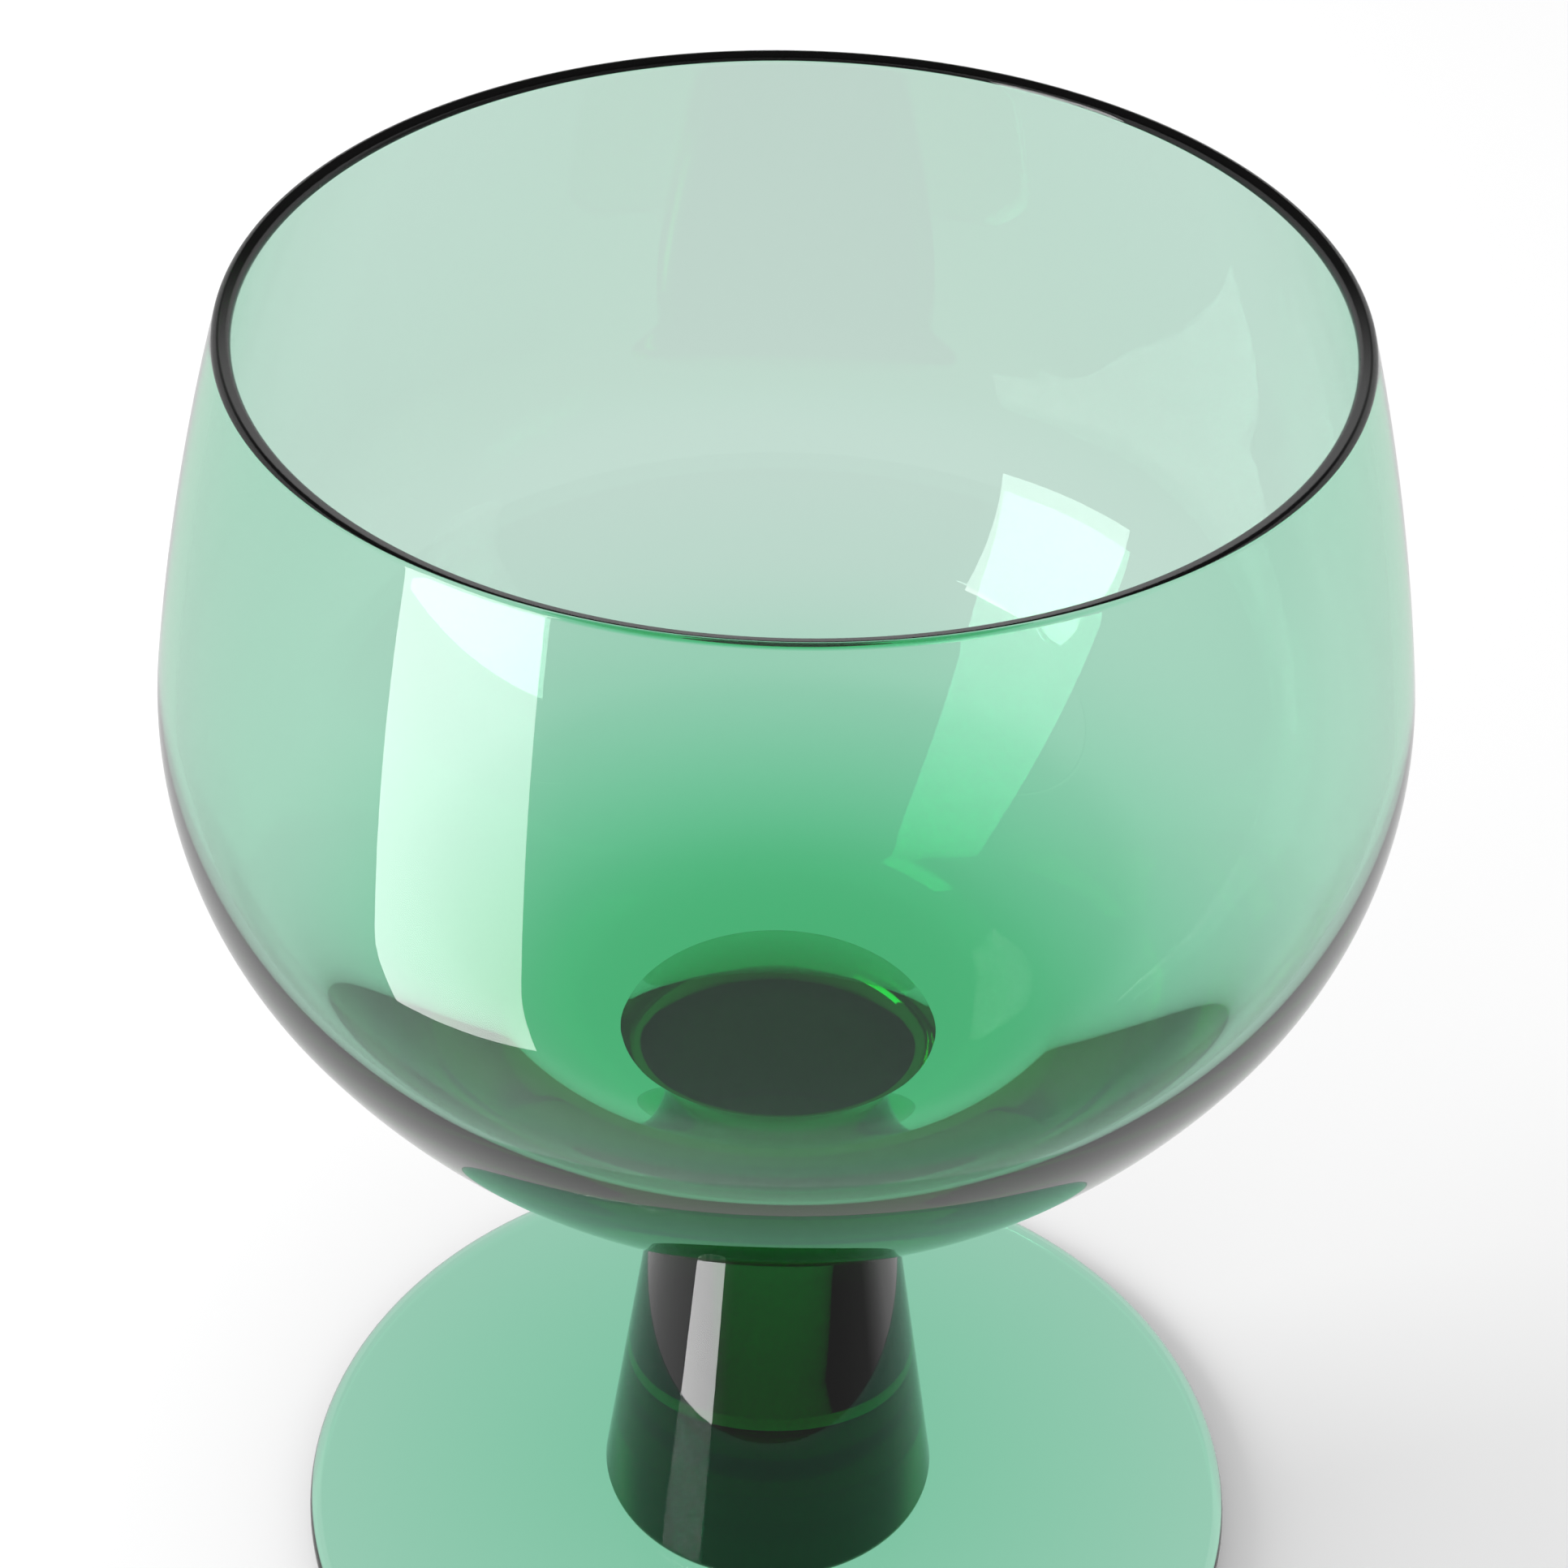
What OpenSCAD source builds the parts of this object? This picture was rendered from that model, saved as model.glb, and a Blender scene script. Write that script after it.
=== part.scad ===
// Low wine glass: a tulip bowl on a short solid stem and a flat round foot.
// Three gathers of the same glass, joined hot, all turned about one upright axis.
// The origin is the centre of the foot's underside, +Z is up and lengths are in millimetres.

/* [View] */
// Sub-part to draw

/* [Overall] */
// Height from the table to the top of the rim
overall_height = 109; // [90:0.5:135]
// Widest diameter of the bowl
bowl_diameter = 85; // [68:0.5:105]

/* [Bowl] */
// Thickness of the wall above the widest point, and of the rim
wall_thickness = 1.3; // [1:0.1:2.5]
// Radius of the rounded edges on both sides of the rim
rim_round = 0.45; // [0.2:0.05:1]
// Thickness of the glass in the middle of the bowl's floor
floor_thickness = 10.5; // [6:0.1:12]
// Height of the widest point above the bowl's underside
belly_height = 36.8; // [28:0.1:46]
// Radius of the belly's upright curve
belly_radius = 30; // [22:0.5:34]
// Radius of the same curve inside: a tighter one gives a heavier lower wall
inner_belly_radius = 26.5; // [20:0.5:28.5]
// Inward lean of the wall where the belly's curve ends, in degrees
shoulder_lean = 7.8; // [2:0.1:15]
// Inward lean of the wall at the rim, in degrees
rim_lean = 15.7; // [8:0.1:25]
// Slope of the lower wall where the belly's curve begins, in degrees back from upright
lower_lean = 30; // [20:1:45]
// The same slope inside the bowl
inner_lower_lean = 48; // [40:1:52]
// Radius of the curve from the lower wall into the underside
heel_radius = 17; // [10:0.5:24]
// Radius of the same curve inside the bowl
inner_heel_radius = 20.5; // [10:0.5:30]
// Diameter of the flat in the middle of the floor inside
inner_flat_diameter = 31; // [20:0.5:40]

/* [Stem] */
// Height of the stem between the foot and the bowl
stem_height = 39.7; // [25:0.1:60]
// Diameter of the stem where it stands on the foot
stem_base_diameter = 25.8; // [18:0.1:34]
// Taper of the stem on each side, in degrees
stem_taper = 7.7; // [2:0.1:10]
// Radius of the rounded edge round the stem's base
stem_base_round = 0.8; // [0.3:0.1:2]
// Height of the flare that spreads into the bowl
flare_height = 8; // [5:0.1:9.5]
// Radius of the flare's hollow curve
flare_radius = 9; // [8:0.5:30]

/* [Foot] */
// Diameter of the foot
foot_diameter = 73; // [60:0.5:90]
// Thickness of the foot under the stem
foot_thickness = 3.6; // [2.4:0.1:6]
// Thickness of the foot at its rounded edge
foot_edge_thickness = 2.6; // [1.6:0.1:5]

/* [Hidden] */
$fn = 200;

// One thin overlap lets a cutting shape pass the face it cuts.
overrun = 2;
// Every curve is cut from its full circle by a box this deep on the chord, deeper than any curve bulges.
cap_depth = 8;
// A heel this near to the fullest curve leaves the lower wall almost straight.
heel_limit = 0.95;

// The bowl's underside sits on the stem, which sits on the foot.
seat_height = foot_thickness + stem_height;

// The stem's cone ends where the flare begins, and the flare ends on the bowl's flat underside.
stem_base_radius = stem_base_diameter / 2;
cone_top = [
    stem_base_radius - tan(stem_taper) * (stem_height - flare_height),
    seat_height - flare_height
];
flare_centre = cone_top + flare_radius * direction(stem_taper);
seat_radius = flare_centre[0] - half_chord(flare_radius, seat_height - flare_centre[1]);

// The outer wall climbs from the heel to the belly's curve, and leans in from the shoulder to the rim.
belly_centre = [bowl_diameter / 2 - belly_radius, seat_height + belly_height];
shoulder = belly_centre + belly_radius * direction(shoulder_lean);
// The rim's rounds never take more than half of the wall each.
edge_round = min(rim_round, wall_thickness / 2);
rim_edge_height = overall_height - edge_round * (1 - sin(rim_lean));
upper_radius = (rim_edge_height - shoulder[1]) / (sin(rim_lean) - sin(shoulder_lean));
upper_centre = shoulder - upper_radius * direction(shoulder_lean);

// The inner wall keeps one thickness above the shoulder and grows thicker below it.
inner_upper_radius = upper_radius - wall_thickness;
inner_shoulder = upper_centre + inner_upper_radius * direction(shoulder_lean);
inner_belly_centre = inner_shoulder - inner_belly_radius * direction(shoulder_lean);

outer_heel = heel(belly_centre, belly_radius, lower_lean, [seat_radius, seat_height], heel_radius);
inner_heel = heel(
    inner_belly_centre,
    inner_belly_radius,
    inner_lower_lean,
    [inner_flat_diameter / 2, seat_height + floor_thickness],
    inner_heel_radius
);
rim_outer = upper_centre + upper_radius * direction(rim_lean);
rim_inner = upper_centre + inner_upper_radius * direction(rim_lean);

// Unit vector at an angle above the horizontal, in the half section that is turned.
function direction(angle) = [cos(angle), sin(angle)];

// Half of a circle's chord at a distance from its centre.
function half_chord(radius, distance) = sqrt(radius * radius - distance * distance);

// The point that two circles share when one touches the other from inside.
function touching_point(big_centre, small_centre, small_radius) =
    let (line = small_centre - big_centre)
    small_centre + small_radius * line / norm(line);

// The heel's arc rises from the floor's flat, and the lower wall's arc runs from it to the belly's.
// The flat is kept wide enough for the wall to rise from it without turning back, and
// the heel's radius stays inside the fullest curve that the wall leaves room for.
// Gives [heel centre, heel radius, lower centre, lower radius].
function heel(belly, radius, lean, flat, wanted) =
    let (
        out = direction(-lean),
        start = belly + radius * out,
        run = (start[1] - flat[1]) / cos(lean),
        corner = start[0] - run * sin(lean),
        edge = [max(flat[0], corner - heel_limit * run), flat[1]],
        fullest = (start - edge) * out / (1 - sin(lean)),
        rounded = min(wanted, heel_limit * fullest),
        centre = edge + [0, rounded],
        span = start - centre,
        lower_radius = (span * span - rounded * rounded) / (2 * (span * out - rounded))
    )
    [centre, rounded, start - lower_radius * out, lower_radius];

// Moves a point off the end of an arc, along the way the arc was going.
function past_rim(edge) = edge + overrun * [-sin(rim_lean), cos(rim_lean)];

// The sliver between an arc and its chord, on the side away from the chord's inner face.
module arc_cap(from, to, centre, radius) {
    chord = (to - from) / norm(to - from);
    away = cap_depth * [chord[1], -chord[0]];
    intersection() {
        translate(centre)
            circle(r = radius);
        polygon([from, to, to + away, from + away]);
    }
}

// Everything inside one surface of the bowl, up to the rim.
module inside_of(heel_arcs, lean, belly, belly_round, wall_end, wall_round) {
    bottom = heel_arcs[0] - [0, heel_arcs[1]];
    heel_end = touching_point(heel_arcs[2], heel_arcs[0], heel_arcs[1]);
    belly_start = belly + belly_round * direction(-lean);
    belly_end = belly + belly_round * direction(shoulder_lean);
    polygon([[0, bottom[1]], bottom, heel_end, belly_start, belly_end, wall_end, [0, wall_end[1]]]);
    arc_cap(bottom, heel_end, heel_arcs[0], heel_arcs[1]);
    arc_cap(heel_end, belly_start, heel_arcs[2], heel_arcs[3]);
    arc_cap(belly_start, belly_end, belly, belly_round);
    arc_cap(belly_end, wall_end, upper_centre, wall_round);
}

// The rim above the wall's square end: a flat top with a round at each side.
module rim_section() {
    across = direction(rim_lean);
    up = edge_round * [-across[1], across[0]];
    outer_round = rim_outer - edge_round * across;
    inner_round = rim_inner + edge_round * across;
    polygon([rim_outer, outer_round + up, inner_round + up, rim_inner]);
    arc_cap(rim_outer, outer_round + up, outer_round, edge_round);
    arc_cap(inner_round + up, rim_inner, inner_round, edge_round);
}

// The wall's half section, cut square across at the rim and closed by the rim's rounds.
module bowl_section() {
    difference() {
        inside_of(outer_heel, lower_lean, belly_centre, belly_radius, rim_outer, upper_radius);
        inside_of(inner_heel, inner_lower_lean, inner_belly_centre, inner_belly_radius, rim_inner, inner_upper_radius);
        polygon([[0, rim_inner[1]], rim_inner, rim_outer, past_rim(rim_outer), [0, past_rim(rim_outer)[1]]]);
    }
    rim_section();
}

module bowl() {
    color([0.55, 0.78, 0.68, 0.5])
        rotate_extrude()
            bowl_section();
}

module stem_section() {
    round_centre = [
        stem_base_radius - stem_base_round / cos(stem_taper),
        foot_thickness + stem_base_round
    ];
    round_end = round_centre + stem_base_round * direction(stem_taper);
    round_start = round_centre - [0, stem_base_round];
    seat_edge = [seat_radius, seat_height];
    difference() {
        polygon([[0, foot_thickness], round_start, round_end, cone_top, seat_edge, [0, seat_height]]);
        arc_cap(seat_edge, cone_top, flare_centre, flare_radius);
    }
    arc_cap(round_start, round_end, round_centre, stem_base_round);
}

module stem() {
    color([0.1, 0.3, 0.18, 0.8])
        rotate_extrude()
            stem_section();
}

module foot_section() {
    half_edge = foot_edge_thickness / 2;
    edge_centre = [foot_diameter / 2 - half_edge, half_edge];
    polygon([
        [0, 0],
        [edge_centre[0], 0],
        [edge_centre[0], foot_edge_thickness],
        [stem_base_radius, foot_thickness],
        [0, foot_thickness]
    ]);
    arc_cap([edge_centre[0], 0], [edge_centre[0], foot_edge_thickness], edge_centre, half_edge);
}

module foot() {
    color([0.5, 0.75, 0.64, 0.5])
        rotate_extrude()
            foot_section();
}

bowl();
stem();
foot();
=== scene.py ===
"""Low wine glass in tinted glass: bowl, stem and foot turned on one axis, on a pale studio table.

Each piece of glass is turned from its half section by a Geometry Nodes lathe, finely enough for the
way glass bends light, and takes the place of the CAD node of the same name.
"""

import logging
import math
from dataclasses import dataclass, field
from enum import Enum

import bpy
from mathutils import Matrix, Vector


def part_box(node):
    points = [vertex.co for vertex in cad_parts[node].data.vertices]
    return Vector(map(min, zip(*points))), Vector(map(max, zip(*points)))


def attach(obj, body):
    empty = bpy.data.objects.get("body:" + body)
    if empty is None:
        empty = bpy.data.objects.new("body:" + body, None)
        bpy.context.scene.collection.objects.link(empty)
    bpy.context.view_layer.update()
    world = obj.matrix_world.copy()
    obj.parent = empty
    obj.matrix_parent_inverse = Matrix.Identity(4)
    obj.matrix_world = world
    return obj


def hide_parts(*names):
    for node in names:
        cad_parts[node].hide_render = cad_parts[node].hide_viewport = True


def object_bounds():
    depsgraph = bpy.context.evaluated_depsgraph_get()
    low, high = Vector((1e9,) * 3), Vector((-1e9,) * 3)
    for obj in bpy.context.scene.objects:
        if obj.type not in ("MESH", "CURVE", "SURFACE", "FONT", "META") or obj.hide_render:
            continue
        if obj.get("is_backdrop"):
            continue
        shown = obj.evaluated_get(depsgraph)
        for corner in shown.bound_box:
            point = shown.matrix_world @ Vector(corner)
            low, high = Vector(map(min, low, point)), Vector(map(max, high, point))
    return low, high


logging.basicConfig(level=logging.INFO, format="%(message)s")
log = logging.getLogger("wine_glass")

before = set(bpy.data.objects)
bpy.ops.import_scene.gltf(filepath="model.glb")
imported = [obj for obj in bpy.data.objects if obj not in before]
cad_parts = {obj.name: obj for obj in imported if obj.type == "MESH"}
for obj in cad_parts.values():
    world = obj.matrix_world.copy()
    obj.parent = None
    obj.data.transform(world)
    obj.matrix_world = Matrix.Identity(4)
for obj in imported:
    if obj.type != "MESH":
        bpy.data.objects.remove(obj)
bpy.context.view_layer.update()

# The hot joints: each end of the stem reaches this far into the piece that it is fused to.
FUSED_DEPTH = 0.00005
# Facets round the axis in every turned piece.
FACETS = 256
# The longest step along an arc, in metres and in degrees of turn.
STEP_LENGTH = 0.001
STEP_TURN = 2.0
# Straight stretches need fewer steps: one for each of these lengths.
STRAIGHT_STEP = 0.004
# Vertices nearer than this are one vertex, which closes the seam and the poles.
MERGE_DISTANCE = 1e-6
# Edges that turn by more than this many degrees stay sharp.
SHARP_TURN = 35.0
# Refraction index of soda-lime glass.
GLASS_IOR = 1.52


# ---------------------------------------------------------------- half sections


def direction(angle: float) -> Vector:
    """Unit vector in the half section, at an angle in degrees above level.

    Args:
        angle: the angle in degrees, 0 pointing away from the axis.

    Returns:
        The vector as (radius, height).
    """
    return Vector((math.cos(math.radians(angle)), math.sin(math.radians(angle))))


def half_chord(radius: float, distance: float) -> float:
    """Half of the chord of a circle at a distance from its centre."""
    return math.sqrt(radius * radius - distance * distance)


def angle_of(v: Vector) -> float:
    """Angle of a half-section vector above level, in degrees."""
    return math.degrees(math.atan2(v[1], v[0]))


@dataclass(frozen=True)
class Arc:
    """One round stretch of a half section.

    Attributes:
        centre: centre of the circle, as (radius, height).
        radius: radius of the circle.
        start: angle where the stretch begins, in degrees above level.
        end: angle where it ends.
    """

    centre: Vector
    radius: float
    start: float
    end: float

    def points(self) -> list[Vector]:
        """Points along the stretch, both ends included."""
        turn = abs(self.end - self.start)
        length = math.radians(turn) * self.radius
        steps = max(2, math.ceil(turn / STEP_TURN), math.ceil(length / STEP_LENGTH))
        return [
            self.centre + self.radius * direction(self.start + (self.end - self.start) * i / steps)
            for i in range(steps + 1)
        ]

    def backwards(self) -> "Arc":
        """The same stretch, walked the other way."""
        return Arc(self.centre, self.radius, self.end, self.start)


@dataclass
class Outline:
    """A half section that is walked once round, starting and ending on the axis."""

    points: list[Vector] = field(default_factory=list)

    def line_to(self, *corner: float) -> "Outline":
        """Adds a straight stretch to a corner, in steps short enough for even facets."""
        end = Vector(corner)
        if self.points:
            start = self.points[-1]
            steps = max(1, math.ceil((end - start).length / STRAIGHT_STEP))
            self.points += [start.lerp(end, i / steps) for i in range(1, steps + 1)]
        else:
            self.points.append(end)
        return self

    def follow(self, arc: Arc) -> "Outline":
        """Adds an arc, leaving out its first point when the outline is already there."""
        new = arc.points()
        near = self.points and (new[0] - self.points[-1]).length < STEP_LENGTH / 100
        self.points += new[1:] if near else new
        return self

    def follow_all(self, arcs: list[Arc]) -> "Outline":
        """Adds arcs one after another."""
        for arc in arcs:
            self.follow(arc)
        return self


# ---------------------------------------------------------------- node helpers


class Sockets(Enum):
    """Socket types of a node group's interface."""

    GEOMETRY = "NodeSocketGeometry"
    NUMBER = "NodeSocketFloat"
    COUNT = "NodeSocketInt"
    MATERIAL = "NodeSocketMaterial"


@dataclass
class Tree:
    """Thin wrapper on a node tree that adds nodes and joins sockets in one call."""

    tree: bpy.types.NodeTree

    def add(self, kind: str, links: dict | None = None, **settings: object) -> bpy.types.Node:
        """Adds a node.

        Args:
            kind: the node's bl_idname.
            links: input name or index to a value, or to an output socket to join.
            **settings: attributes of the node, such as operation="MULTIPLY".

        Returns:
            The new node.
        """
        node = self.tree.nodes.new(kind)
        for name, value in settings.items():
            setattr(node, name, value)
        for key, value in (links or {}).items():
            if isinstance(value, bpy.types.NodeSocket):
                self.tree.links.new(value, node.inputs[key])
            else:
                node.inputs[key].default_value = value
        return node

    def math(self, operation: str, *values: object) -> bpy.types.NodeSocket:
        """Adds a Math node and returns its output."""
        return self.add("ShaderNodeMath", dict(enumerate(values)), operation=operation).outputs[0]

    def socket(
        self, name: str, kind: Sockets, inward: bool = True
    ) -> bpy.types.NodeTreeInterfaceSocket:
        """Adds a socket to the group's interface.

        Args:
            name: the socket's name.
            kind: its type.
            inward: True for an input, False for an output.

        Returns:
            The interface socket, whose identifier a modifier's input is set by.
        """
        way = "INPUT" if inward else "OUTPUT"
        return self.tree.interface.new_socket(name=name, in_out=way, socket_type=kind.value)


# ---------------------------------------------------------------- glass


# Waves are longer up the glass than round it, as blown glass is drawn out: this is 1 over how much.
WAVE_STRETCH = 0.35
# Scale of the smear noise, and the noise values where a smear begins and is full.
SMEARS_PER_METRE = 140.0
SMEAR_FROM = 0.55
SMEAR_FULL = 0.8


def handled_surface() -> bpy.types.NodeTree:
    """Node group for the surface of hand-made glass: slow waves from blowing and faint smears.

    Returns:
        A shader group with inputs Wave Size, Smear and Polish, and outputs Height and Roughness.
    """
    name = "handled_surface"
    if name in bpy.data.node_groups:
        return bpy.data.node_groups[name]
    t = Tree(bpy.data.node_groups.new(name, "ShaderNodeTree"))
    t.socket("Wave Size", Sockets.NUMBER)
    t.socket("Smear", Sockets.NUMBER)
    t.socket("Polish", Sockets.NUMBER)
    t.socket("Height", Sockets.NUMBER, inward=False)
    t.socket("Roughness", Sockets.NUMBER, inward=False)
    given = t.add("NodeGroupInput").outputs
    place = t.add("ShaderNodeTexCoord").outputs["Object"]
    stretched = t.add("ShaderNodeMapping", {"Vector": place, "Scale": (1.0, 1.0, WAVE_STRETCH)})
    per_size = t.math("DIVIDE", 1.0, given["Wave Size"])
    waves = t.add(
        "ShaderNodeTexNoise",
        {"Vector": stretched.outputs[0], "Scale": per_size, "Detail": 1.0, "Roughness": 0.3},
    )
    smears = t.add(
        "ShaderNodeTexNoise",
        {
            "Vector": place,
            "Scale": SMEARS_PER_METRE,
            "Detail": 4.0,
            "Roughness": 0.6,
            "Distortion": 0.8,
        },
    )
    patch = t.add(
        "ShaderNodeMapRange",
        {
            "Value": smears.outputs["Fac"],
            "From Min": SMEAR_FROM,
            "From Max": SMEAR_FULL,
            "To Min": 0.0,
            "To Max": 1.0,
        },
    )
    rough = t.math("MULTIPLY_ADD", patch.outputs[0], given["Smear"], given["Polish"])
    t.add("NodeGroupOutput", {"Height": waves.outputs["Fac"], "Roughness": rough})
    return t.tree


@dataclass(frozen=True)
class TintedGlass:
    """Clear glass coloured in the mass, so that it darkens with its thickness.

    Attributes:
        name: the name of the CAD material slot, which the material's name is built from.
        tint: share of each colour that the glass keeps, per unit of density.
        density: how fast the glass takes up light, per metre.
        wave_size: length of the slow waves in the surface, in metres.
        wave_height: depth of those waves, in metres.
        smear: how much rougher a smeared place is.
        polish: roughness of the clean surface.
    """

    name: str
    tint: tuple[float, float, float]
    density: float
    wave_size: float = 0.03
    wave_height: float = 0.00002
    smear: float = 0.03
    polish: float = 0.0

    def material(self) -> bpy.types.Material:
        """Builds the material."""
        material = bpy.data.materials.new(self.name + "_tinted")
        material.use_nodes = True
        t = Tree(material.node_tree)
        t.tree.nodes.clear()
        surface = t.add("ShaderNodeGroup", node_tree=handled_surface())
        surface.inputs["Wave Size"].default_value = self.wave_size
        surface.inputs["Smear"].default_value = self.smear
        surface.inputs["Polish"].default_value = self.polish
        bump = t.add(
            "ShaderNodeBump",
            {"Height": surface.outputs["Height"], "Distance": self.wave_height, "Strength": 1.0},
        )
        glass = t.add(
            "ShaderNodeBsdfPrincipled",
            {
                "Base Color": (1.0, 1.0, 1.0, 1.0),
                "Roughness": surface.outputs["Roughness"],
                "Metallic": 0.0,
                "IOR": GLASS_IOR,
                "Transmission Weight": 1.0,
                "Normal": bump.outputs[0],
            },
        )
        mass = t.add("ShaderNodeVolumeAbsorption", {"Color": (*self.tint, 1.0), "Density": self.density})
        t.add("ShaderNodeOutputMaterial", {"Surface": glass.outputs[0], "Volume": mass.outputs[0]})
        return material


BOWL_GLASS = TintedGlass("bowl_glass", tint=(0.0, 0.825, 0.466), density=206.0)
# The stem's glass is denser and darker than the bowl's. That extra darkness is painted shade: it stands
# in for the bowl's shadow on the table that shows through the stem.
SHADED_STEM_GLASS = TintedGlass("stem_glass", tint=(0.0, 0.69, 0.395), density=290.0, wave_size=0.02)
FOOT_GLASS = TintedGlass("foot_glass", tint=(0.0, 0.795, 0.461), density=293.0, wave_size=0.04)


# ---------------------------------------------------------------- the lathe


@dataclass
class Lathe:
    """Geometry Nodes tree that turns a half section about the upright axis.

    The outline comes in as a line of vertices in order. A grid takes one column from each of them, and
    each row stands at its own angle, so the section's own points are used as they are.
    """

    name: str = "lathe"

    def tree(self) -> bpy.types.NodeTree:
        """Builds the tree once, with inputs Outline Points, Facets and Glass."""
        if self.name in bpy.data.node_groups:
            return bpy.data.node_groups[self.name]
        t = Tree(bpy.data.node_groups.new(self.name, "GeometryNodeTree"))
        t.socket("Outline", Sockets.GEOMETRY)
        t.socket("Outline Points", Sockets.COUNT)
        t.socket("Facets", Sockets.COUNT)
        t.socket("Glass", Sockets.MATERIAL)
        t.socket("Turned", Sockets.GEOMETRY, inward=False)
        given = t.add("NodeGroupInput").outputs
        rows = t.math("ADD", given["Facets"], 1.0)
        grid = t.add(
            "GeometryNodeMeshGrid", {"Vertices X": given["Outline Points"], "Vertices Y": rows}
        )
        index = t.add("GeometryNodeInputIndex").outputs[0]
        column = t.math("FLOOR", t.math("DIVIDE", t.math("ADD", index, 0.5), rows))
        row = t.math("SUBTRACT", index, t.math("MULTIPLY", column, rows))
        # The last row stands exactly on the first, so that the seam closes.
        step = t.math("DIVIDE", -math.tau, given["Facets"])
        angle = t.math("MULTIPLY", t.math("MODULO", row, given["Facets"]), step)
        place = t.add("GeometryNodeInputPosition").outputs[0]
        section = t.add(
            "GeometryNodeSampleIndex",
            {"Geometry": given["Outline"], "Value": place, "Index": column},
            data_type="FLOAT_VECTOR",
            domain="POINT",
        )
        part = t.add("ShaderNodeSeparateXYZ", {0: section.outputs[0]}).outputs
        turned = t.add(
            "ShaderNodeCombineXYZ",
            {
                "X": t.math("MULTIPLY", part["X"], t.math("COSINE", angle)),
                "Y": t.math("MULTIPLY", part["X"], t.math("SINE", angle)),
                "Z": part["Z"],
            },
        ).outputs[0]
        moved = t.add("GeometryNodeSetPosition", {"Geometry": grid.outputs["Mesh"], "Position": turned})
        closed = t.add(
            "GeometryNodeMergeByDistance",
            {"Geometry": moved.outputs[0], "Distance": MERGE_DISTANCE},
        )
        smooth = t.add("GeometryNodeSetShadeSmooth", {"Geometry": closed.outputs[0]})
        real = t.add("GeometryNodeRealizeInstances", {"Geometry": smooth.outputs[0]})
        dressed = t.add(
            "GeometryNodeSetMaterial", {"Geometry": real.outputs[0], "Material": given["Glass"]}
        )
        t.add("NodeGroupOutput", {"Turned": dressed.outputs[0]})
        return t.tree

    def turn(self, name: str, outline: Outline, glass: bpy.types.Material) -> bpy.types.Object:
        """Turns an outline into a closed piece of glass.

        Args:
            name: the piece's name.
            outline: its half section, from the axis round to the axis.
            glass: its material.

        Returns:
            The finished object, a plain mesh in place.
        """
        line = bpy.data.meshes.new(name + "_outline")
        points = [(p[0], 0.0, p[1]) for p in outline.points]
        line.from_pydata(points, [(i, i + 1) for i in range(len(points) - 1)], [])
        pattern = bpy.data.objects.new(name + "_outline", line)
        bpy.context.scene.collection.objects.link(pattern)
        modifier = pattern.modifiers.new("lathe", "NODES")
        tree = self.tree()
        modifier.node_group = tree
        values = {"Outline Points": len(points), "Facets": FACETS, "Glass": glass}
        for item in tree.interface.items_tree:
            if item.name in values:
                modifier[item.identifier] = values[item.name]
        shown = pattern.evaluated_get(bpy.context.evaluated_depsgraph_get())
        mesh = bpy.data.meshes.new_from_object(shown)
        mesh.name = name
        mesh.set_sharp_from_angle(angle=math.radians(SHARP_TURN))
        bpy.data.objects.remove(pattern)
        piece = bpy.data.objects.new(name, mesh)
        bpy.context.scene.collection.objects.link(piece)
        return piece


@dataclass
class GlassPiece:
    """A turned piece of the glass that stands for one CAD node.

    Attributes:
        node: the CAD node's name.
        glass: the finish.
    """

    node: str
    glass: TintedGlass

    def outline(self) -> Outline:
        """The half section. Each piece gives its own."""
        raise NotImplementedError

    def build(self, lathe: Lathe) -> bpy.types.Object:
        """Turns the piece, dresses it and puts it in its CAD node's place.

        Args:
            lathe: the tree that turns it.

        Returns:
            The finished piece.
        """
        material = self.glass.material()
        piece = lathe.turn(self.node + "_turned", self.outline(), material)
        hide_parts(self.node)
        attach(piece, "root")
        log.info("%s: %d faces", piece.name, len(piece.data.polygons))
        return piece


# ---------------------------------------------------------------- pieces


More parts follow.
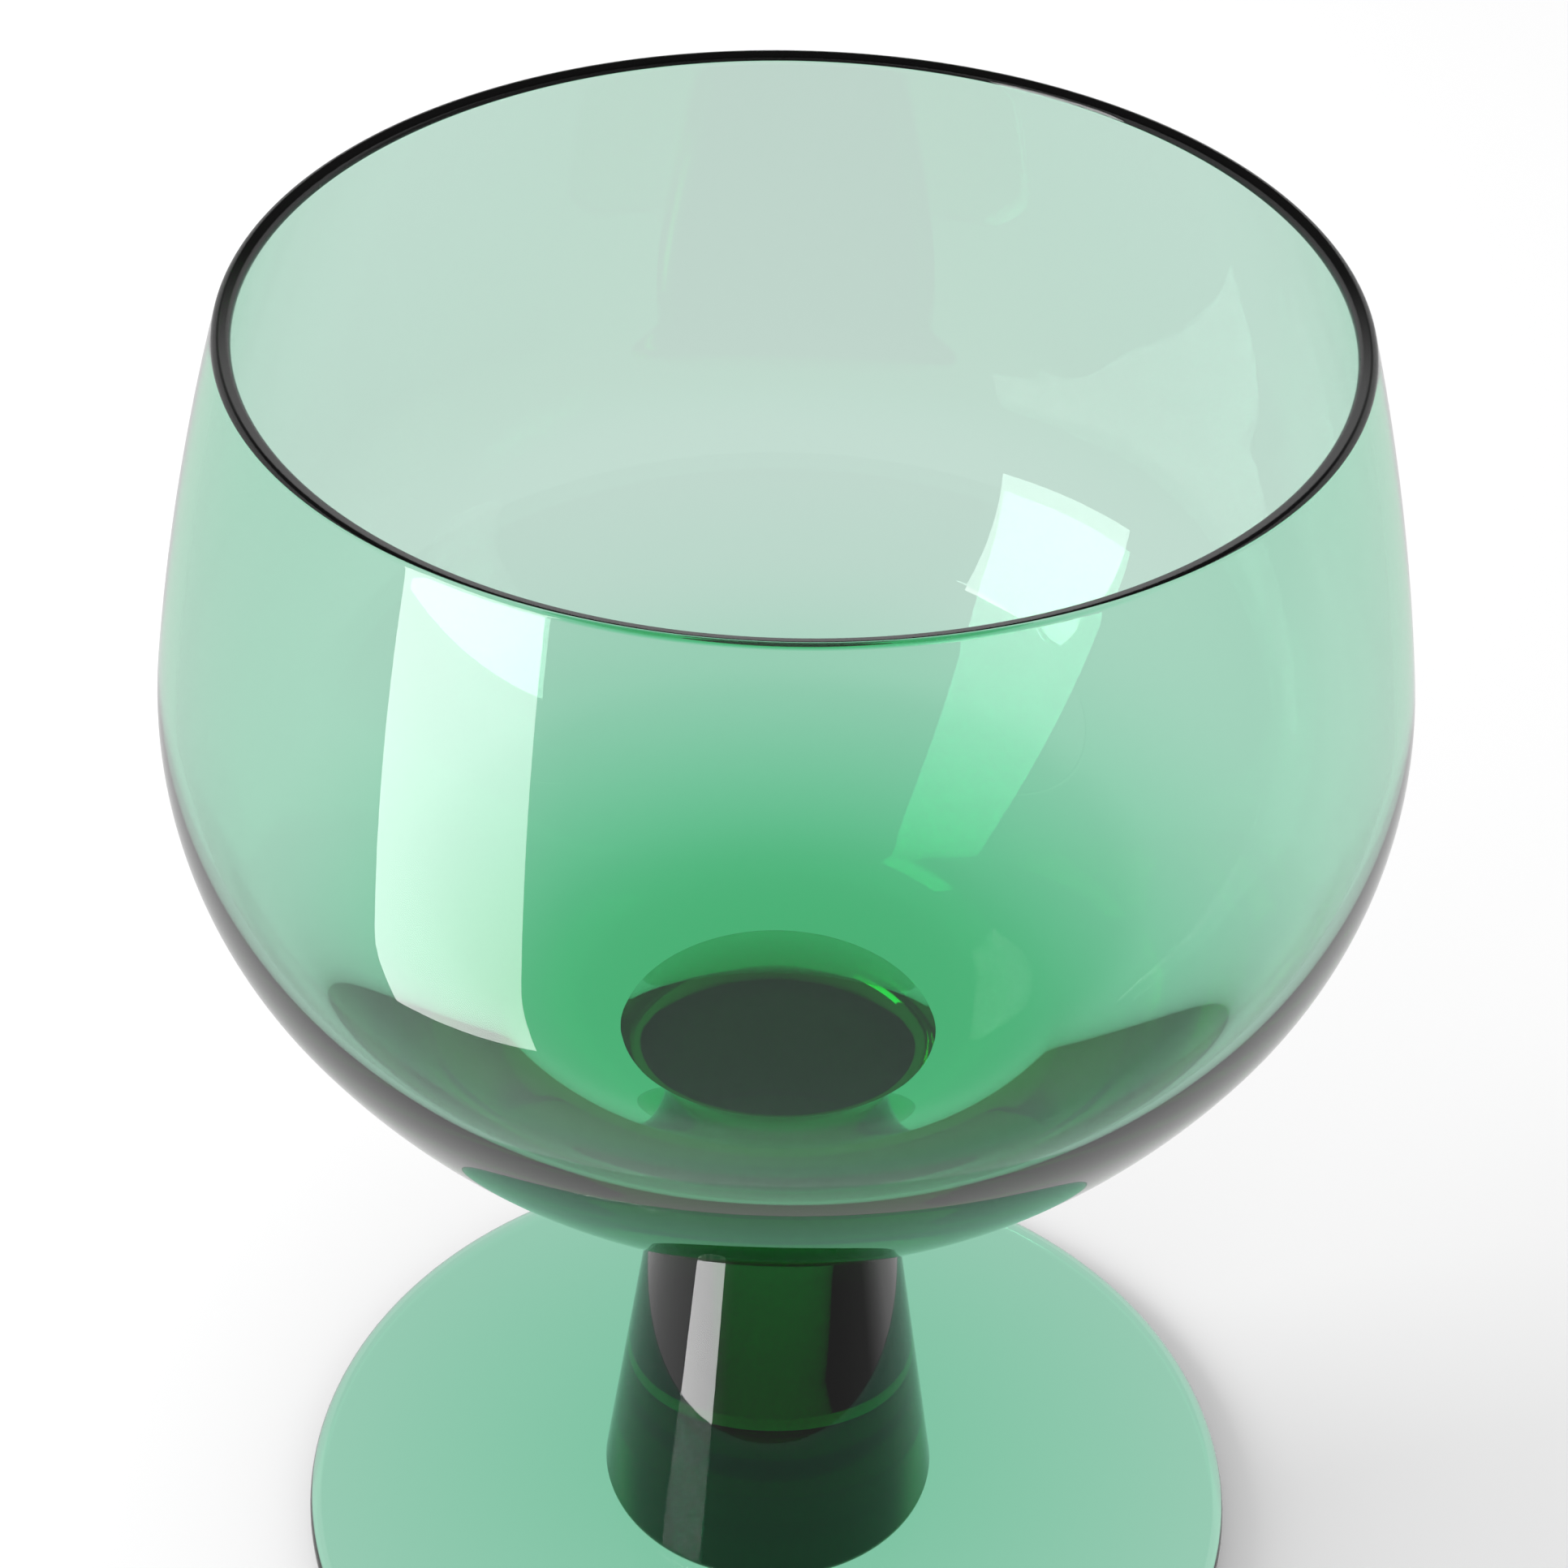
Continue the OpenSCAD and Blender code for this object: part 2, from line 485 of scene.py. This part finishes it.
@dataclass
class Bowl(GlassPiece):
    """Tulip bowl with a rounded rim, a thin upper wall and a heavy floor.

    Leans are in degrees: how far a surface stands back from upright where one curve meets the next.

    Attributes:
        seat_radius: radius of the flat underside that sits on the stem.
        wall: thickness above the widest point, and of the rim.
        rim_round: radius of the rim's two rounded edges.
        floor: thickness in the middle of the floor.
        belly_height: height of the widest point above the underside.
        belly_radius: radius of the belly's upright curve outside.
        inner_belly_radius: radius of the same curve inside.
        shoulder_lean: where the belly's curve ends.
        rim_lean: at the rim.
        lower_lean: where the belly's curve begins outside.
        inner_lower_lean: where it begins inside.
        heel_radius: radius of the curve out of the underside.
        inner_heel_radius: radius of the curve out of the floor.
        inner_flat: radius of the flat floor.
    """

    seat_radius: float
    wall: float = 0.0013
    rim_round: float = 0.00045
    floor: float = 0.0105
    belly_height: float = 0.0368
    belly_radius: float = 0.030
    inner_belly_radius: float = 0.0265
    shoulder_lean: float = 7.8
    rim_lean: float = 15.7
    lower_lean: float = 30.0
    inner_lower_lean: float = 48.0
    heel_radius: float = 0.017
    inner_heel_radius: float = 0.0205
    inner_flat: float = 0.0155

    def surface(
        self, belly: Vector, round_radius: float, lean: float, flat: Vector, heel: float
    ) -> list[Arc]:
        """The arcs of one surface of the bowl from its flat to its shoulder.

        Args:
            belly: centre of the belly's curve.
            round_radius: radius of the belly's curve.
            lean: slope where that curve begins, in degrees back from upright.
            flat: edge of the flat at the bottom.
            heel: radius of the curve that rises from the flat.

        Returns:
            Three arcs, from the flat up.
        """
        out = direction(-lean)
        start = belly + round_radius * out
        heel_centre = flat + Vector((0.0, heel))
        span = start - heel_centre
        lower = (span.dot(span) - heel * heel) / (2 * (span.dot(out) - heel))
        lower_centre = start - lower * out
        meeting = angle_of(heel_centre - lower_centre)
        return [
            Arc(heel_centre, heel, -90.0, meeting),
            Arc(lower_centre, lower, meeting, -lean),
            Arc(belly, round_radius, -lean, self.shoulder_lean),
        ]

    def outline(self) -> Outline:
        """Outside from the seat up to the rim, over it, and inside down to the floor."""
        low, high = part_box(self.node)
        seat, top, widest = low.z, high.z, high.x
        lean = direction(self.rim_lean)
        along = direction(self.rim_lean + 90.0)
        belly = Vector((widest - self.belly_radius, seat + self.belly_height))
        shoulder = belly + self.belly_radius * direction(self.shoulder_lean)
        # The outer corner of the rim is the highest point: its round touches the top of the box.
        edge_height = top - self.rim_round * (1 - lean[1])
        upper = (edge_height - shoulder[1]) / (lean[1] - direction(self.shoulder_lean)[1])
        upper_centre = shoulder - upper * direction(self.shoulder_lean)
        inner_upper = upper - self.wall
        inner_shoulder = upper_centre + inner_upper * direction(self.shoulder_lean)
        inner_belly = inner_shoulder - self.inner_belly_radius * direction(self.shoulder_lean)
        outside = self.surface(
            belly, self.belly_radius, self.lower_lean, Vector((self.seat_radius, seat)), self.heel_radius
        )
        inside = self.surface(
            inner_belly,
            self.inner_belly_radius,
            self.inner_lower_lean,
            Vector((self.inner_flat, seat + self.floor)),
            self.inner_heel_radius,
        )
        outside.append(Arc(upper_centre, upper, self.shoulder_lean, self.rim_lean))
        inside.append(Arc(upper_centre, inner_upper, self.shoulder_lean, self.rim_lean))
        round_start = upper_centre + (upper - self.rim_round) * lean
        round_end = upper_centre + (inner_upper + self.rim_round) * lean
        outline = Outline().line_to(0.0, seat).line_to(self.seat_radius, seat).follow_all(outside)
        outline.follow(Arc(round_start, self.rim_round, self.rim_lean, self.rim_lean + 90.0))
        outline.line_to(*(round_end + self.rim_round * along))
        outline.follow(Arc(round_end, self.rim_round, self.rim_lean + 90.0, self.rim_lean + 180.0))
        outline.follow_all([arc.backwards() for arc in reversed(inside)])
        return outline.line_to(0.0, seat + self.floor)


@dataclass
class Stem(GlassPiece):
    """Short solid cone that flares into the bowl and sits on the foot with a rounded edge.

    Attributes:
        base: radius where the stem stands on the foot.
        taper: lean of its side, in degrees.
        base_round: radius of the rounded edge round the base.
        flare_height: height of the flare below the bowl.
        flare_radius: radius of the flare's hollow curve.
    """

    base: float = 0.0129
    taper: float = 7.7
    base_round: float = 0.0008
    flare_height: float = 0.008
    flare_radius: float = 0.009

    def flare(self) -> Arc:
        """The hollow curve from the top of the cone out to the bowl's underside."""
        low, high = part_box(self.node)
        slope = math.radians(self.taper)
        reach = self.base - math.tan(slope) * (high.z - low.z - self.flare_height)
        cone_top = Vector((reach, high.z - self.flare_height))
        centre = cone_top + self.flare_radius * direction(self.taper)
        up = high.z - centre[1]
        to_seat = Vector((-half_chord(self.flare_radius, up), up))
        return Arc(centre, self.flare_radius, 180.0 + self.taper, angle_of(to_seat))

    def seat_radius(self) -> float:
        """Radius of the round face that the bowl sits on."""
        return self.flare().points()[-1][0]

    def outline(self) -> Outline:
        """From the foot out to the base's edge, up the cone and the flare, and in to the axis."""
        low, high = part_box(self.node)
        slope = math.radians(self.taper)
        round_reach = self.base - self.base_round / math.cos(slope)
        round_centre = Vector((round_reach, low.z + self.base_round))
        outline = Outline().line_to(0.0, low.z - FUSED_DEPTH)
        outline.line_to(round_centre[0], low.z - FUSED_DEPTH)
        outline.follow(Arc(round_centre, self.base_round, -90.0, self.taper))
        flare = self.flare()
        outline.line_to(*flare.points()[0]).follow(flare)
        outline.line_to(self.seat_radius(), high.z + FUSED_DEPTH)
        return outline.line_to(0.0, high.z + FUSED_DEPTH)


@dataclass
class Foot(GlassPiece):
    """Flat round foot, a little thicker under the stem, with a rounded edge.

    Attributes:
        stem_base: radius of the stem that stands on it.
        edge: thickness at the rounded edge.
    """

    stem_base: float
    edge: float = 0.0026

    def outline(self) -> Outline:
        """From the axis along the underside, round the edge and back over the top."""
        low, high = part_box(self.node)
        centre = Vector((high.x - self.edge / 2, low.z + self.edge / 2))
        outline = Outline().line_to(0.0, low.z).line_to(centre[0], low.z)
        outline.follow(Arc(centre, self.edge / 2, -90.0, 90.0))
        return outline.line_to(self.stem_base, high.z).line_to(0.0, high.z)


# ---------------------------------------------------------------- studio


@dataclass(frozen=True)
class Panel:
    """One upright pane of light that faces the glass.

    Attributes:
        name: the pane's name.
        azimuth: its direction from the axis, in degrees left of the camera.
        distance: from the axis.
        low: height of its lower edge.
        high: height of its upper edge.
        width: its width.
        radiance: its brightness, where white paper is 1.
    """

    name: str
    azimuth: float
    distance: float
    low: float
    high: float
    width: float
    radiance: float

    def build(self) -> bpy.types.Object:
        """Makes the light, turned to the axis."""
        data = bpy.data.lights.new(self.name, "AREA")
        data.shape = "RECTANGLE"
        data.size = self.width
        data.size_y = self.high - self.low
        data.energy = self.radiance * math.pi * self.width * (self.high - self.low)
        light = bpy.data.objects.new(self.name, data)
        turn = math.radians(self.azimuth)
        away = Vector((-math.sin(turn), -math.cos(turn), 0.0))
        light.location = away * self.distance + Vector((0.0, 0.0, (self.low + self.high) / 2))
        light.rotation_mode = "QUATERNION"
        light.rotation_quaternion = away.to_track_quat("Z", "Y")
        bpy.context.scene.collection.objects.link(light)
        return light


WINDOW = Panel("window", azimuth=56.0, distance=0.60, low=-0.38, high=0.50, width=0.30, radiance=7.0)
SHADOW_LIGHT = Panel("key", azimuth=95.0, distance=0.60, low=0.20, high=0.50, width=0.5, radiance=8.0)


@dataclass
class Studio:
    """Pale table, soft light and the camera.

    Attributes:
        aim_height: height on the glass's axis that the camera looks at.
        distance: from the camera to that point.
        elevation: angle of the view above level, in degrees.
        roll: turn of the camera about its line of sight, in degrees.
        focal_length: in millimetres, on a 36 mm wide sensor.
        pale_until: the room is pale up to this height on a sphere of radius 1.
        dark_from: it is dark above this height.
        dark_back: how much lower both of those lie at the back of the room.
        wall_light: brightness of the pale part.
        ceiling_light: brightness of the dark part.
        front_share: how bright the camera's side of the room is, as a share of the back.
        right_dims: how far the dimming reaches round to the right.
        dim_until: depth on the sphere where the dimming is full.
        plain_from: depth where it has ended.
        tent_light: brightness of the tent that lights the table.
        glow: brightness of the table as the glass sees it.
        table_half: half of the table's side.
        table_gap: how far it lies below the foot.
        paper_white: share of light that the table's paper sends back.
    """

    aim_height: float = 0.0712
    distance: float = 0.2755
    elevation: float = 37.08
    roll: float = 1.38
    focal_length: float = 90.8
    pale_until: float = 0.76
    dark_from: float = 0.9
    dark_back: float = 0.4
    wall_light: float = 0.8
    ceiling_light: float = 0.1
    front_share: float = 0.35
    right_dims: float = 0.5
    dim_until: float = -0.5
    plain_from: float = -0.1
    tent_light: float = 0.85
    glow: float = 0.77
    table_half: float = 3.0
    table_gap: float = 0.0001
    paper_white: float = 0.95

    def camera(self) -> None:
        """Makes the scene's camera."""
        data = bpy.data.cameras.new("camera")
        data.lens = self.focal_length
        data.sensor_width = 36.0
        data.clip_start = 0.01
        data.clip_end = 20.0
        camera = bpy.data.objects.new("camera", data)
        back = Vector(
            (0.0, -math.cos(math.radians(self.elevation)), math.sin(math.radians(self.elevation)))
        )
        camera.location = Vector((0.0, 0.0, self.aim_height)) + self.distance * back
        level = (-back).to_track_quat("-Z", "Y").to_matrix()
        rolled = level @ Matrix.Rotation(math.radians(self.roll), 3, "Z")
        camera.rotation_mode = "QUATERNION"
        camera.rotation_quaternion = rolled.to_quaternion()
        bpy.context.scene.collection.objects.link(camera)
        bpy.context.scene.camera = camera

    def table(self) -> None:
        """Makes the plain pale floor, a hair below the foot."""
        mesh = bpy.data.meshes.new("table")
        half = self.table_half
        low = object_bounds()[0].z - self.table_gap
        corners = [(-half, -half, low), (half, -half, low), (half, half, low), (-half, half, low)]
        mesh.from_pydata(corners, [], [(0, 1, 2, 3)])
        table = bpy.data.objects.new("table", mesh)
        bpy.context.scene.collection.objects.link(table)
        material = bpy.data.materials.new("table_paper")
        material.use_nodes = True
        t = Tree(material.node_tree)
        t.tree.nodes.clear()
        seen = t.add("ShaderNodeBsdfDiffuse", {"Color": (*[self.paper_white] * 3, 1.0)})
        glow = t.add("ShaderNodeEmission", {"Color": (1.0, 1.0, 1.0, 1.0), "Strength": self.glow})
        direct = t.add("ShaderNodeLightPath").outputs["Is Camera Ray"]
        paper = t.add("ShaderNodeMixShader", {0: direct, 1: glow.outputs[0], 2: seen.outputs[0]})
        t.add("ShaderNodeOutputMaterial", {"Surface": paper.outputs[0]})
        mesh.materials.append(material)
        table.visible_glossy = False
        table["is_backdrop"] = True

    def world(self) -> None:
        """Makes the room: pale at the sides and below, dark overhead, dimmer in front and right."""
        world = bpy.data.worlds.new("studio")
        world.use_nodes = True
        t = Tree(world.node_tree)
        t.tree.nodes.clear()
        way = t.add("ShaderNodeTexCoord").outputs["Generated"]
        part = t.add("ShaderNodeSeparateXYZ", {0: way}).outputs
        height = t.math("MULTIPLY_ADD", part["Y"], self.dark_back, part["Z"])
        room = t.add(
            "ShaderNodeMapRange",
            {
                "Value": height,
                "From Min": self.pale_until,
                "From Max": self.dark_from,
                "To Min": self.wall_light,
                "To Max": self.ceiling_light,
            },
            interpolation_type="SMOOTHSTEP",
        ).outputs[0]
        # The camera's side of the room and its right are dimmer than the back and the left.
        depth = t.math("MULTIPLY_ADD", part["X"], -self.right_dims, part["Y"])
        share = t.add(
            "ShaderNodeMapRange",
            {
                "Value": depth,
                "From Min": self.dim_until,
                "From Max": self.plain_from,
                "To Min": self.front_share,
                "To Max": 1.0,
            },
        ).outputs[0]
        room = t.math("MULTIPLY", room, share)
        kind = t.add("ShaderNodeLightPath").outputs
        # The table is lit as in a white tent, and what the camera sees past the table is white as well.
        plain = t.math("MAXIMUM", kind["Is Diffuse Ray"], kind["Is Camera Ray"])
        tent = t.math("MULTIPLY", plain, self.tent_light)
        light = t.math("ADD", tent, t.math("MULTIPLY", t.math("SUBTRACT", 1.0, plain), room))
        sky = t.add("ShaderNodeBackground", {"Color": (1.0, 1.0, 1.0, 1.0), "Strength": light})
        t.add("ShaderNodeOutputWorld", {"Surface": sky.outputs[0]})
        bpy.context.scene.world = world

    def lights(self) -> None:
        """Makes the tall window, which the glass mirrors, and the low light that gives the shadow."""
        window = WINDOW.build()
        window.visible_camera = False
        window.visible_diffuse = False
        key = SHADOW_LIGHT.build()
        key.visible_camera = False
        key.visible_glossy = False
        key.visible_transmission = False

    def build(self) -> None:
        """Makes the table, the lights and the camera."""
        self.table()
        self.world()
        self.lights()
        self.camera()
        bpy.context.scene.view_settings.view_transform = "Standard"
        cycles = bpy.context.scene.cycles
        cycles.max_bounces = 32
        cycles.transmission_bounces = 32
        cycles.glossy_bounces = 16
        cycles.caustics_refractive = False


def main() -> None:
    """Builds the three pieces of glass, then the studio round them."""
    lathe = Lathe()
    stem = Stem("stem", SHADED_STEM_GLASS)
    bowl = Bowl("bowl", BOWL_GLASS, seat_radius=stem.seat_radius())
    foot = Foot("foot", FOOT_GLASS, stem_base=stem.base)
    for piece in (bowl, stem, foot):
        piece.build(lathe)
    Studio().build()


if __name__ == "__main__":
    main()
